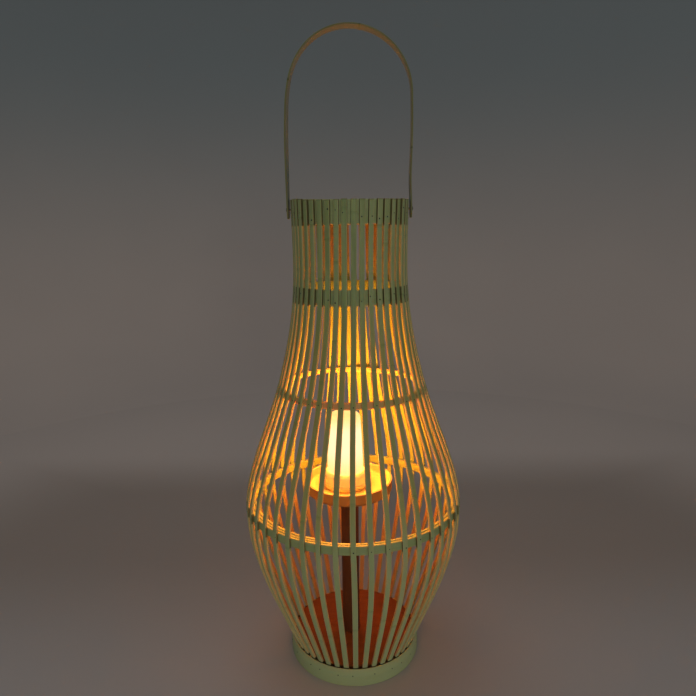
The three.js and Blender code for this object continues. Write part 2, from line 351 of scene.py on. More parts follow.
def painted_bamboo(
    name, seed, wear, shade=0.0, pale=0.0, foot_painted_light=0.0, lining=0.0, through=0.3, bare=0.0,
):
    """Thin matt sage paint over split bamboo: fibres run along the strip, and the paint is rubbed
    through in places and thin on the sawn sides. The grain attribute is (across, along, strip
    number). Beside the lamp a warmer tone is painted in as painted lamp light, and above and below
    it the inner faces are painted russet as painted lamp glow.

    Each share runs from 0 to 1: wear is how much bamboo shows, shade how grimy the paint is, pale
    how washed out it is and foot_painted_light how much paler it is painted near the floor as painted
    light, lining how grey the inner face is, through how much light goes into the thin strip, and
    bare how little paint it has."""
    s = Shader(
        name, 0.62, Specular_IOR_Level=0.3,
        Subsurface_Weight=through, Subsurface_Scale=7 * MM, Subsurface_Radius=(1.0, 0.55, 0.15),
    )
    grain = s.attribute("grain", "Vector")
    side, inner, end, knot, dirt_and_shade, worn = (
        s.attribute(key) for key in ("side", "inner", "end", "knot", "dirt_and_shade", "worn")
    )
    fibres = s.noise(s.stretched(grain, 2400, 20, 11.3 + seed), detail=4)
    patches = s.noise(s.stretched(grain, 110, 9, 5.7 + seed), detail=2)
    flecks = s.noise(s.stretched(grain, 1000, 50, 3.1 + seed), detail=3, rough=0.65)
    strip = s.noise(s.stretched(grain, 0, 0, 7.9 + seed), detail=0)
    calm = s.ramp(inner, 0.1, 0.8, 1.0, 0.3)

    def share(value, low, high, most):
        """A ramp up to a largest share, weaker on the inner face."""
        return s.times(s.ramp(value, low, high, 0, most), calm)

    colour = s.mix(share(patches, 0.38, 0.68, 0.6), PAINT, PAINT_DARK)
    colour = s.mix(s.ramp(strip, 0.42, 0.68, 0, 0.45), colour, PAINT_PALE)
    colour = s.mix(share(fibres, 0.50, 0.78, 0.4), colour, PAINT_DARK)
    colour = s.mix(share(fibres, 0.48, 0.24, 0.3), colour, PAINT_PALE)
    along = s.axis(grain, "Y")
    # Paler overall by pale, and paler still towards the start of the strip (the foot of a slat) as
    # painted light.
    pale_and_foot_light = s.ramp(along, *FOOT_PAINTED_LIGHT, pale, max(pale, foot_painted_light))
    colour = s.mix(pale_and_foot_light, colour, PAINT_PALE)
    height = s.axis(s.place(), "Z")
    # Painted lamp light: a warmer tone at the heights beside the lamp.
    painted_lamp_light = s.times(s.ramp(height, *PAINTED_LAMP_LIGHT_LOW_EDGE), s.ramp(height, *PAINTED_LAMP_LIGHT_HIGH_EDGE))
    colour = s.mix(s.times(painted_lamp_light, 0.45), colour, PAINTED_LAMP_WARMTH)
    # Painted lamp glow: russet on the inner faces above and below the lamp.
    far = s.math("MAXIMUM", s.ramp(height, *PAINTED_GLOW_ABOVE), s.ramp(height, *PAINTED_GLOW_BELOW))
    inner_colour = s.mix(far, INNER_FACE, INNER_PAINTED_GLOW)
    colour = s.mix(s.times(inner, 0.85), colour, inner_colour)
    thin = s.times(side, s.ramp(flecks, 0.3, 0.62, 0.75, 0.85))
    rubbed = share(flecks, 0.67, 0.73, 0.4)
    colour = s.mix(s.times(s.math("MAXIMUM", thin, rubbed), wear), colour, RAW_BAMBOO)
    edge = s.times(worn, s.ramp(flecks, 0.25, 0.55, 0.45, 0.9))
    colour = s.mix(s.times(edge, wear), colour, WORN_EDGE)
    colour = s.mix(s.times(inner, lining), colour, LINING)
    colour = s.mix(s.times(knot, 0.4), colour, PAINT_DARK)
    colour = s.mix(s.times(end, 0.8), colour, CUT_BAMBOO)
    colour = s.mix(bare, colour, RAW_BAMBOO)
    colour = s.mix(shade, colour, GRIME)
    # Painted shade where slats meet the hoops and the band and on the handle's sides; also darker at
    # knots and at the slats' top ends.
    colour = s.mix(s.times(dirt_and_shade, 0.92), colour, SHADE_AND_GRIME_DARK)

    rough = s.ramp(fibres, 0.3, 0.7, 0.5, 0.72)
    relief = s.math("ADD", s.times(fibres, 0.7), s.times(flecks, 0.15))
    relief = s.times(relief, s.ramp(inner, 0.1, 0.6, 1.0, 0.08))
    return s.finish(colour, rough, relief, bump=0.3, distance=0.15 * MM)


def wood(name, dark, light, along, rough=0.6, rings=160, figure=1.0):
    """Turned or sawn wood. along is the axis that its grain follows, rings how fine the grain is
    and figure how strong. Its glow mark says where a darker orange is painted, as painted glow of
    lamp light bounced onto the wood."""
    s = Shader(name, rough, Specular_IOR_Level=0.2)
    place = s.place()
    across, lengthwise, pore_fineness = rings / 6, rings / 90, 34

    def scaled(sideways, endways):
        """The place, scaled across and along the grain."""
        return s.stretched(place, *(endways if axis == along else sideways for axis in "xyz"))

    warped = s.noise(scaled(across, lengthwise), detail=3)
    bands = s.node("TexWave", {
        "Vector": scaled(1, 0.06),
        "Scale": across, "Distortion": 5.0, "Detail": 3.0, "Detail Scale": 1.4,
    }, output="Fac", bands_direction="DIAGONAL")
    pores = s.noise(scaled(across * pore_fineness, lengthwise * pore_fineness), detail=2)
    pore_colour = rgb(*(channel * 0.5 for channel in dark[:3]))
    colour = s.mix(s.ramp(bands, 0.1, 0.95, 0.3, 0.55), dark, light)
    colour = s.mix(s.ramp(warped, 0.35, 0.7, 0, 0.5 * figure), colour, dark)
    colour = s.mix(s.ramp(pores, 0.6, 0.74, 0, 0.4 * figure), colour, pore_colour)
    # Painted light: a darker saturated orange stands in for lamp light bounced onto the tray's side.
    colour = s.mix(s.times(s.attribute("stained"), 0.75), colour, PAINTED_BOUNCE_GLOW)
    roughness = s.ramp(pores, 0.3, 0.7, rough - 0.1, rough + 0.12)
    relief = s.math("ADD", s.times(bands, 0.4), pores)
    return s.finish(colour, roughness, relief, bump=0.35 * figure, distance=0.3 * MM)


def plastic(name, colour, shade):
    """Moulded plastic with a fine texture and faint clouding."""
    rough = 0.42
    s = Shader(name, rough, Specular_IOR_Level=0.45)
    place = s.place()
    cloud = s.noise(place, scale=60, detail=2)
    fine = s.noise(place, scale=2600, detail=2)
    clouded = s.mix(s.ramp(cloud, 0.35, 0.7), colour, shade)
    roughness = s.ramp(fine, 0.3, 0.7, rough - 0.06, rough + 0.08)
    return s.finish(clouded, roughness, fine, bump=0.12, distance=0.1 * MM)


def nail_steel(name, bright, tarnish, metallic=0.85):
    """Dull steel with tarnish."""
    s = Shader(name, 0.45, Metallic=metallic)
    place = s.place()
    spots = s.noise(place, scale=900, detail=4, rough=0.65)
    colour = s.mix(s.ramp(spots, 0.42, 0.62), bright, tarnish)
    rough = s.ramp(spots, 0.35, 0.7, 0.35, 0.75)
    return s.finish(colour, rough, spots, bump=0.25, distance=0.1 * MM)


def glowing_diffuser(name, low, high):
    """Frosted shell lit from inside: brightest over the middle of its height."""
    s = Shader(name, 0.5, Specular_IOR_Level=0.4)
    place = s.place()
    height = s.axis(place, "Z")
    rise = high - low
    from_foot = s.ramp(height, low, low + 0.45 * rise)
    from_crown = s.ramp(height, high, low + 0.7 * rise)
    frost = s.noise(place, scale=220, detail=2)
    glow = s.mix(s.times(from_foot, from_crown), GLOW_ENDS, GLOW_MIDDLE)
    glow = s.mix(s.ramp(frost, 0.3, 0.75, 0, 0.12), glow, GLOW_FROST)
    s.plug(glow, s.surface.inputs["Emission Color"])
    s.plug(0.98, s.surface.inputs["Emission Strength"])
    return s.finish(SHELL, height=frost, bump=0.05)


def floor_finish(name):
    """Plain matt floor, darker with painted shade just behind the lantern and pale again further off
    as painted light, running up into a wall that darkens with painted shade. The ramps are in metres
    from the lantern's axis or from the floor."""
    s = Shader(name, 0.85, Specular_IOR_Level=0.2)
    place = s.place()
    cloud = s.noise(place, scale=1.3, detail=2)
    flat = s.stretched(place, 1, 1, 0)
    reach = s.node("VectorMath", {"Vector": flat}, output="Value", operation="LENGTH")
    height = s.axis(place, "Z")
    behind = s.axis(place, "Y")
    # Painted shade: darker just behind the lantern.
    colour = s.mix(s.ramp(behind, -0.2, 0.35), FLOOR_NEAR, FLOOR_PAINTED_SHADE)
    # Painted light: paler again further off.
    far = s.math("MAXIMUM", s.ramp(behind, 0.62, 0.98), s.ramp(reach, 0.9, 1.6))
    colour = s.mix(far, colour, WALL_FOOT)
    # Painted shade: the wall darker towards the top.
    colour = s.mix(s.ramp(height, 0.1, 2.0), colour, WALL_TOP_PAINTED_SHADE)
    colour = s.mix(s.ramp(cloud, 0.3, 0.7, 0, 0.08), colour, FLOOR_CLOUD)
    return s.finish(colour)


# ------------------------------ the slats' outline, from the frame

def stations_of(node):
    """(heights, radii, angles) of the middle of a CAD slat's outer face, from its corners."""
    same_face = 0.5 * MM
    rows = {}
    for vertex in node.data.vertices:
        rows.setdefault(round(vertex.co.z, 4), []).append(vertex.co)
    heights, radii, angles = [], [], []
    for height in sorted(rows):
        corners = rows[height]
        reach = max(math.hypot(c.x, c.y) for c in corners)
        outer = [c for c in corners if math.hypot(c.x, c.y) > reach - same_face]
        middle = sum((Vector((c.x, c.y)) for c in outer), Vector((0, 0))) / len(outer)
        heights.append(height)
        radii.append(middle.length)
        angles.append(math.atan2(middle.y, middle.x))
    return np.array(heights), np.array(radii), np.unwrap(angles)


def smooth_curve(xs, ys):
    """The natural cubic spline through points."""
    steps, rises = np.diff(xs), np.diff(ys)
    size = len(xs)
    system, target = np.eye(size), np.zeros(size)
    for i in range(1, size - 1):
        system[i, i - 1:i + 2] = steps[i - 1], 2 * (steps[i - 1] + steps[i]), steps[i]
        target[i] = 6 * (rises[i] / steps[i] - rises[i - 1] / steps[i - 1])
    bends = np.linalg.solve(system, target)

    def at(x):
        i = int(np.clip(np.searchsorted(xs, x) - 1, 0, size - 2))
        step, after, before = steps[i], x - xs[i], xs[i + 1] - x
        return (
            (bends[i] * before ** 3 + bends[i + 1] * after ** 3) / (6 * step)
            + (ys[i] / step - bends[i] * step / 6) * before
            + (ys[i + 1] / step - bends[i + 1] * step / 6) * after
        )
    return at


class Strip:
    """Gathers the rings of a bamboo strip's skin, with what its paint needs to know at each point."""

    def __init__(self, number):
        self.number = number
        self.rings = []
        self.ring = []
        self.marks = {key: [] for key in ("grain", "side", "inner", "knot", "end", "dirt_and_shade", "worn")}

    def point(self, place, across, along, side, inner, knot=0.0, end=0.0, dirt_and_shade=0.0, worn=0.0):
        """Adds a point to the ring that is being gathered."""
        self.ring.append(tuple(place))
        values = ((across, along, self.number), side, inner, knot, float(end), dirt_and_shade, worn)
        for key, value in zip(self.marks, values):
            self.marks[key].append(value)

    def end_ring(self):
        """Closes the ring and starts the next one."""
        self.rings.append(self.ring)
        self.ring = []

    def build(self, name, material, body, node, turn_over=False):
        """The piece, in place of a CAD node; turn_over is for rings that run clockwise."""
        vertices, faces = skin(self.rings)
        if turn_over:
            faces = [face[::-1] for face in faces]
        return new_piece(
            name, vertices, faces, material, body, "painted_bamboo", [node], **self.marks,
        )


def ridge_at(run, knots, width, before=0):
    """How much of a knot's rounded ridge there is at a distance along a strip, up to about 1. The
    ridge lies before the knot by a given distance."""
    return sum(math.exp(-(((run - knot + before) / width) ** 2)) for knot in knots)


hoop_spans = [tuple(corner.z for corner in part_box(node)) for node in HOOPS]
foot_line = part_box("base_band")[1].z
# The heights at which the slats are held still.
held_at = [(low + high) / 2 for low, high in hoop_spans] + [foot_line / 2]
# Where painted shade darkens the slats, in the gaps at the hoops and where the feet go into the band:
# (low, high, how much).
crevices = [
    (low - 0.5 * MM, high + 0.5 * MM, shade_depth)
    for (low, high), shade_depth in zip(hoop_spans, (0.8, 0.3, 0.9, 0.9))
]
crevices.append((foot_line - 4 * MM, foot_line + 0.8 * MM, 1))

# The front slats bow a little to the left above the belly: height and sideways shift.
LEFT_BOW = smooth_curve(
    np.array([0, 0.15, 0.25, 0.34, 0.44, 0.53, 0.62, 0.74, 0.821]),
    np.array([0, 0, 0.8, 3.0, 3.8, 2.6, 1.2, 1.3, 1.2]) * MM,
)


def rim_rise(angle):
    """How far the mouth's edge stands above the CAD's: it's a little uneven."""
    front, left, right = max(0, -math.sin(angle)), max(0, -math.cos(angle)), max(0, math.cos(angle))
    return (-1.8 * front ** 2 + 2.2 * left ** 2 + 0.4 * right ** 2) * MM


class Slat:
    """One bamboo slat: where its outer face runs, with small hand-made deviations."""

    WIDTH, THICKNESS = 8.4 * MM, 4.1 * MM
    FIRST_SEED = 4100
    RING_STEP = 7 * MM
    NEAR_KNOT = (-5, -3, -1.8, -0.9, 0, 0.9, 1.8, 3, 5)
    TOUCH = 1e-6

    def __init__(self, name, number):
        self.name, self.number = name, number
        rng = random.Random(self.FIRST_SEED + number)
        heights, radii, angles = stations_of(frame["nodes"][name])
        self.foot = heights[0]
        self.top = heights[-1] + rim_rise(angles[-1]) + rng.uniform(-0.9, 0.7) * MM
        self.radius = smooth_curve(heights, radii)
        self.angle = smooth_curve(heights, angles)
        self.shift = rng.uniform(-0.9, 0.9) * MM
        self.sway = wander(rng, 0.35 * MM, 1.3)
        self.bow = wander(rng, 0.3 * MM, 1.1)
        self.twist = wander(rng, 0.045, 1.2)
        self.width = self.WIDTH * rng.uniform(0.94, 1.06)
        self.spread = wander(rng, 0.012, 0.9)
        first = rng.uniform(0.03, 0.2)
        self.knots = [first + i * rng.uniform(0.2, 0.25) for i in range(4)]

    def frame_at(self, height):
        """(point, across, out) on the middle of the outer face."""
        step, free_length = 0.5 * MM, 50 * MM
        free = min(abs(height - held) for held in held_at)
        radius = self.radius(height) + self.bow(height) * min(1, free / free_length)
        angle = self.angle(height)
        frontness = max(0, -math.sin(angle)) ** 2
        aside = self.shift + self.sway(height) - LEFT_BOW(height) * frontness
        angle += aside / radius
        out = outward(angle)
        rise = (self.radius(height + step) - self.radius(height - step)) / (2 * step)
        along = (out * rise + Vector((0, 0, 1))).normalized()
        across = Vector((-out.y, out.x, 0))
        across = Matrix.Rotation(self.twist(height), 3, along) @ across
        return out * radius + Vector((0, 0, height)), across, across.cross(along)

    def ring_heights(self):
        """Heights of the rings, closer together at the knots, the crevices and the ends."""
        foot, top = self.foot, self.top
        heights = list(np.arange(foot + 2 * MM, top - 2 * MM, self.RING_STEP))
        for knot in self.knots:
            heights += [knot + step * MM for step in self.NEAR_KNOT]
        for low, high, _ in crevices:
            heights += [low - 2 * MM, low, high, high + 2 * MM]
        heights += [foot, foot + 0.6 * MM, top - 2 * MM, top - 0.7 * MM, top]
        return sorted({round(h, 6) for h in heights if foot <= h <= top} | {foot, top})

    def build(self, material):
        """The piece: rings up the slat, each thicker at a knot and tapered at the ends."""
        section = strip_section(
            self.width, self.THICKNESS, crown=0.25 * MM, outer_edge=0.5 * MM, inner_edge=0.35 * MM,
        )
        strip = Strip(self.number)
        for height in self.ring_heights():
            point, across, out = self.frame_at(height)
            ridge = ridge_at(height, self.knots, 1.3 * MM)
            groove = ridge_at(height, self.knots, 1.2 * MM, before=3 * MM)
            is_end = min(height - self.foot, self.top - height) < self.TOUCH
            size = 0.93 if is_end else 1.0
            spread = size * (1 + self.spread(height) + 0.025 * ridge)
            lift = (0.4 * ridge - 0.15 * groove) * MM
            # Painted shade where the slat runs behind a hoop or into the band, strongest on its
            # sides.
            crevice = max(
                shade_depth * (low - self.TOUCH <= height <= high + self.TOUCH)
                for low, high, shade_depth in crevices
            )
            tucked = crevice * (height < foot_line + 1 * MM)
            rubbed_top = 0.5 * (height > self.top - 1 * MM)
            for x, y, side, inside, worn in section:
                depth = y * size + (lift if inside < 0.2 else 0)
                strip.point(point + across * (x * spread) + out * depth, x, height, side, inside,
                            knot=min(1, ridge + 0.6 * groove), end=is_end,
                            dirt_and_shade=max(tucked, rubbed_top, 0.9 * crevice * side),
                            worn=worn)
            strip.end_ring()
        return strip.build("bamboo_" + self.name, material, "lantern", self.name)


# ------------------------------ hoops, band, handle: bent strips

def coiled_strip(node, layers, overlap, start, material, seed, easing=0.5 * MM):
    """A bamboo strip coiled into a hoop inside the slats. Each turn lies inside the one before; it
    steps in just before it meets its own outer end, and its ends are shaved thin. overlap is the
    share of a turn by which the strip laps itself, start the angle of its outer end in degrees."""
    bottom, top = (corner.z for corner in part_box(node))
    outline = slats[0].radius
    inset = Slat.THICKNESS + 0.6 * MM
    outer_bottom, outer_top = outline(bottom) - inset, outline(top) - inset
    inner = min(math.hypot(v.co.x, v.co.y) for v in frame["nodes"][node].data.vertices)
    thickness = (min(outer_bottom, outer_top) - inner) / layers
    filled = 0.93 if layers == 1 else 0.89
    rng = random.Random(seed)
    ripple, edge_ripple = wander(rng, 0.35 * MM, 0.5), wander(rng, 0.4 * MM, 0.4)
    height = top - bottom
    section = strip_section(
        height, thickness * filled, crown=0.2 * MM, outer_edge=easing, inner_edge=easing,
    )
    turns = layers + overlap
    step_in = 0.045
    shaved = 18 * MM
    rings_a_turn = 150
    strip = Strip(seed)
    count = int(rings_a_turn * turns)
    knots = [rng.uniform(0.1, 0.3) + i * rng.uniform(0.25, 0.3) for i in range(12)]
    mean = (outer_bottom + outer_top) / 2
    for i in range(count + 1):
        turn = turns * i / count
        angle = math.radians(start) + TAU * turn
        layer = 0
        for k in range(1, layers + 1):
            t = min(1, max(0, (turn - k + step_in) / step_in))
            layer += t * t * (3 - 2 * t)
        run = turn * TAU * mean
        to_end = min(turn, turns - turn) * TAU * mean
        thin = 0.25 + 0.75 * min(1, to_end / shaved)
        out = outward(angle)
        ridge = ridge_at(run, knots, 1.5 * MM)
        for x, y, side, inside, worn in section:
            share = x / height + 0.5
            radius = outer_bottom + (outer_top - outer_bottom) * share
            deep = thickness * layer - y * thin + max(0, ripple(run)) * 0.4
            radius -= deep - 0.25 * MM * ridge * (1 if inside < 0.2 else 0)
            z = bottom + height * share + edge_ripple(run) * 0.3 + layer * 0.7 * MM
            if node == "rim_hoop":
                z += rim_rise(angle) * share
            strip.point(out * radius + Vector((0, 0, z)), x, run, side, inside,
                        knot=min(1, ridge), end=i in (0, count), worn=0.5 * worn)
        strip.end_ring()
    return strip.build("bamboo_" + node, material, "lantern", node, turn_over=True)


def base_band(material):
    """The band round the slats' feet: one strip with a butt joint, its top edge chamfered."""
    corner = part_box("base_band")[1]
    radius, height = corner.x, corner.z
    chamfer_height, chamfer_depth, wall = 11 * MM, 3 * MM, 4.6 * MM
    outline = rounded([
        (radius - wall, height / 2),
        (radius - wall, 0, 0.8 * MM),
        (radius, 0, 1.4 * MM),
        (radius, height - chamfer_height, 3 * MM),
        (radius - chamfer_depth, height, 0.8 * MM),
        (radius - wall, height, 0.6 * MM),
        (radius - wall, height / 2),
    ], 1 * MM, steps=4)[:-1]
    ripple = wander(random.Random(77), 0.3 * MM, 0.35)
    count, joint = 360, 0.35 * MM
    start = math.radians(128)
    strip = Strip(31)
    for i in range(count + 1):
        run = i / count * TAU * radius
        angle = start + (joint + run * (1 - 2 * joint / (TAU * radius))) / radius
        out = outward(angle)
        for r, z in outline:
            reach = r - abs(ripple(run)) * 0.5
            at_edge = z > height - 1.0 * MM or z < 0.8 * MM
            is_inner = float(r < radius - 4 * MM)
            strip.point(out * reach + Vector((0, 0, z)), z, run, 0.8 * at_edge, is_inner,
                        end=i in (0, count))
        strip.end_ring()
    return strip.build("bamboo_base_band", material, "lantern", "base_band")


# How far the hand-bent handle strays inwards from a true arch, and how it twists in radians,
# along the strip from its right end.
HANDLE_INSET = smooth_curve(
    np.array([0, 25, 53, 90, 145, 192, 270, 354, 422, 446, 486, 505, 524, 542, 578, 620, 708]) * MM,
    np.array([0, 0.2, 1.4, 0.8, -0.6, 0, 0, -0.4, 1.5, 3.0, 4.9, 4.7, 2.8, 1.7, 0.3, 0, 0]) * MM,
)
HANDLE_TWIST = smooth_curve(np.array([0, 190, 354, 480, 560, 640, 708]) * MM,
                            np.array([0, 0.03, 0, -0.03, -0.1, -0.08, 0]))


def handle_arch(material):
    """The bail: a flat bamboo strip bent to an arch, with rounded ends."""
    low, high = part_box("handle")
    thickness = 3 * MM
    outer, width = high.x, high.y - low.y
    straight = high.z - outer - low.z
    arc = math.pi * outer
    length = 2 * straight + arc
    sway = wander(random.Random(9), 0.5 * MM, 0.6)
    knots = [0.11, 0.335, 0.492]
    stops = list(np.arange(14 * MM, length - 14 * MM, 5 * MM))
    stops += [k + step * MM for k in knots for step in (-3, -1.8, -0.9, 0, 0.9, 1.8, 3)]
    ends = [0, 0.15, 0.5, 1, 2, 3.5, 5.5, 8, 11]
    stops += [e * MM for e in ends] + [length - e * MM for e in ends]
    section = strip_section(
        width, thickness * 0.97, crown=0.35 * MM, outer_edge=0.6 * MM, inner_edge=0.5 * MM,
    )
    strip = Strip(17)
    for run in sorted(stops):
        if run < straight:
            base, out = Vector((outer, 0, low.z + run)), Vector((1, 0, 0))
        elif run > straight + arc:
            base, out = Vector((-outer, 0, low.z + length - run)), Vector((-1, 0, 0))
        else:
            turn = (run - straight) / outer
            out = Vector((math.cos(turn), 0, math.sin(turn)))
            base = Vector((0, 0, high.z - outer)) + out * outer
        end = min(run, length - run)
        radius = width / 2
        taper = 1.0
        if end < radius:
            taper = max(0.06, math.sqrt(max(0, radius ** 2 - (radius - end) ** 2)) / radius)
        ridge = ridge_at(run, knots, 1.4 * MM)
        free = min(1, max(0, end - 30 * MM) / (100 * MM))
        base = base + Vector((0, sway(run) * free, 0)) - out * HANDLE_INSET(run)
        twist = HANDLE_TWIST(run)
        across = Vector((0, math.cos(twist), 0)) + out * math.sin(twist)
        face = out * math.cos(twist) - Vector((0, math.sin(twist), 0))
        for x, y, side, inside, _ in section:
            lift = (0.3 * ridge * (inside < 0.2) - 0.35) * MM
            # Its sides are painted dark, partly as painted shade, and its knots darker.
            strip.point(base + across * (x * taper) + face * (y + lift), x * taper, run, side,
                        inside, knot=min(1, ridge), dirt_and_shade=0.55 * side + 0.3 * min(1, ridge))
        strip.end_ring()
    return strip.build("bamboo_handle", material, "handle", "handle", turn_over=True)


# ------------------------------ nails

def dome(point, out, radius, rise, vertices, faces):
    """Adds a small domed nail head, seated a little under the surface."""
    segments = 10
    side = out.cross(Vector((0, 0, 1))).normalized()
    up = side.cross(out)
    seat = -0.5 * MM
    profile = [(1.0, seat), (1.0, 0.25 * rise), (0.72, 0.8 * rise)]
    first = len(vertices)
    for share, height in profile:
        for i in range(segments):
            a = TAU * i / segments
            spoke = side * math.cos(a) + up * math.sin(a)
            vertices.append(tuple(point + spoke * (radius * share) + out * height))
    vertices.append(tuple(point + out * rise))
    for row in range(len(profile) - 1):
        for i in range(segments):
            a, k = first + row * segments, (i + 1) % segments
            faces.append((a + i, a + k, a + segments + k, a + segments + i))
    last = first + (len(profile) - 1) * segments
    tip = len(vertices) - 1
    for i in range(segments):
        faces.append((last + i, last + (i + 1) % segments, tip))
    faces.append(tuple(first + i for i in reversed(range(segments))))


def slat_brads(name, node, spot, material, seed):
    """Brads through most slats into a hoop, at a share of its height. The brads of the other slats
    are punched in and painted over."""
    low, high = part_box(node)
    showing = 0.8
    rng = random.Random(seed)
    vertices, faces = [], []
    for slat in slats:
        height = low.z + (high.z - low.z) * (spot + rng.uniform(-0.25, 0.25))
        point, across, out = slat.frame_at(height)
        point = point + across * rng.uniform(-2.2, 2.2) * MM + out * 0.15 * MM
        size = rng.uniform(0.8, 1.3)
        if rng.random() < showing:
            dome(point, out, size * MM, 0.4 * size * MM, vertices, faces)
    return new_piece(name, vertices, faces, material, "lantern", "nail_steel")


def band_brads(material):
    """Brads through the base band and the slats' feet into the base disc."""
    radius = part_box("base_band")[1].x
    rng = random.Random(5)
    vertices, faces = [], []
    count, line = 24, 19 * MM
    for i in range(count):
        angle = TAU * (i + rng.uniform(-0.25, 0.25)) / count
        out = outward(angle)
        point = out * (radius - 0.2 * MM) + Vector((0, 0, line + rng.uniform(-1.2, 1.2) * MM))
        dome(point, out, 1.0 * MM, 0.4 * MM, vertices, faces)
    return new_piece("base_band_brads", vertices, faces, material, "lantern", "nail_steel")


def handle_nail(node, side, material):
    """A round-headed nail lying along X, its head out and its point towards the cage's axis."""
    low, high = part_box(node)
    axis_height = (low.z + high.z) / 2
    head = (high.z - low.z) / 2
    tip, end = min(abs(low.x), abs(high.x)), max(abs(low.x), abs(high.x))
    under = end - 1.6 * MM
    shank = 1.5 * MM
    profile = [
        (0, tip), (0.7 * MM, tip + 0.6 * MM), (shank, tip + 2.2 * MM), (shank, under - 0.3 * MM),
        (1.9 * MM, under), (head * 0.97, under), (head, under + 0.35 * MM),
        (head * 0.9, end - 0.75 * MM), (head * 0.62, end - 0.25 * MM),
        (head * 0.3, end - 0.04 * MM), (0, end),
    ]
    vertices, faces = turned(profile, 28, closed=False)
    lie = Matrix.Translation((0, 0, axis_height)) @ Matrix.Rotation(side * math.pi / 2, 4, "Y")
    vertices = [tuple(lie @ Vector(v)) for v in vertices]
    return new_piece(
        "nail_" + node, vertices, faces, material, "lantern", "nail_steel", [node], smooth=55,
    )


# ------------------------------ base, post, tray

def round_box(node):
    """(bottom, top, middle, radius) of a node that is round and upright."""
    low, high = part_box(node)
    middle = (low.x + high.x) / 2, (low.y + high.y) / 2
    return low.z, high.z, middle, (high.x - low.x) / 2


def base_disc(material):
    """The round floor board: its side slopes out with the slats' feet, and its edges are eased."""
    bottom, top, middle, wide = round_box("base_disc")
    narrow = min(
        math.hypot(v.co.x, v.co.y)
        for v in frame["nodes"]["base_disc"].data.vertices
        if v.co.z < bottom + MM and math.hypot(v.co.x, v.co.y) > wide / 2
    )
    profile = [(0, bottom)]
    profile += rounded([(0, bottom), (narrow, bottom), (wide, top), (0, top)], 1.2 * MM)[1:-1]
    profile += [(wide * 0.6, top), (wide * 0.3, top), (0, top)]
    return new_piece(
        "wooden_base_disc", *turned(profile, 132, middle, closed=False), material,
        "lantern", "dark_wood", ["base_disc"],
    )


def post(material):
    """The round upright, whose radius wavers a little."""
    bottom, top, middle, radius = round_box("post")
    rows = np.linspace(bottom + 4 * MM, top - 4 * MM, 30)
    waver = wander(random.Random(3), 0.15 * MM, 0.2)
    profile = [(0, bottom), (radius - 0.9 * MM, bottom), (radius - 0.2 * MM, bottom + 0.5 * MM)]
    profile += [(radius - abs(waver(z)), z) for z in rows]
    profile += [(radius - 0.2 * MM, top - 0.5 * MM), (radius - 0.9 * MM, top), (0, top)]
    return new_piece(
        "wooden_post", *turned(profile, 64, middle, closed=False), material,
        "lantern", "dark_wood", ["post"],
    )


def tray(material):
    """The turned dish: rounded lip, a cove where the floor meets the lip, and two turned lines."""
    bottom, top, middle, radius = round_box("tray")
    lip, floor = 5 * MM, bottom + 9.4 * MM
    outline = rounded([
        (0, bottom),
        (radius - 4 * MM, bottom, 1 * MM),
        (radius, bottom + 4 * MM, 3.5 * MM),
        (radius, top - 0.6 * MM, 1.2 * MM),
        (radius - 1.6 * MM, top - 0.6 * MM, 0.4 * MM),
        (radius - 2.0 * MM, top, 0.8 * MM),
        (radius - lip, top, 1.4 * MM),
        (radius - lip - 1.2 * MM, floor, 3.2 * MM),
        (0, floor),
    ], 2 * MM, steps=6)
    profile = outline[:-1]
    wide, narrow, deep = 0.8 * MM, 0.3 * MM, 0.3 * MM
    for share in (0.80, 0.56):
        line = radius * share
        profile += [
            (line + wide, floor), (line + narrow, floor - deep),
            (line - narrow, floor - deep), (line - wide, floor),
        ]
    profile.append((0, floor))
    vertices, faces = turned(profile, 128, middle, closed=False)
    # The tray's outer side takes the painted glow of bounced lamp light.
    stained = [
        float(z < top - 0.8 * MM and math.hypot(x - middle[0], y - middle[1]) > radius - 4.2 * MM)
        for x, y, z in vertices
    ]
    return new_piece(
        "wooden_tray", vertices, faces, material, "lantern", "light_wood", ["tray"], stained=stained,
    )


# ------------------------------ lamp

def lamp_cup(material):
    """The cream cup: foot ring, straight wall and a sloped shoulder up to the diffuser."""
    base, top, middle, radius = round_box("lamp_housing")
    seat, well = 32.6 * MM, 20 * MM
    deck, wall, plate = base + 22 * MM, 2.6 * MM, 2.5 * MM
    profile = rounded([
        (radius - wall, base + 12 * MM),
        (radius - wall, base, 0.4 * MM),
        (radius, base, 1.0 * MM),
        (radius, base + 6.2 * MM, 0.6 * MM),
        (radius - 1.1 * MM, base + 6.7 * MM, 0.3 * MM),
        (radius - 1.1 * MM, base + 7.4 * MM, 0.3 * MM),
        (radius - 0.6 * MM, base + 7.9 * MM, 0.4 * MM),
        (radius - 0.7 * MM, base + 22.5 * MM, 1.2 * MM),
        (radius - 1.9 * MM, base + 25.5 * MM, 1.2 * MM),
        (seat + 1.2 * MM, top, 0.6 * MM),
        (seat, top, 0.4 * MM),
        (seat, deck, 0.5 * MM),
        (well, deck, 0.3 * MM),
        (well, deck - plate, 0.3 * MM),
        (radius - wall, deck - plate, 0.5 * MM),
        (radius - wall, base + 12 * MM),
    ], 1 * MM, steps=4)[:-1]
    return new_piece(
        "lamp_cup", *turned(profile, 112, middle), material,
        "lamp", "cream_plastic", ["lamp_housing"],
    )


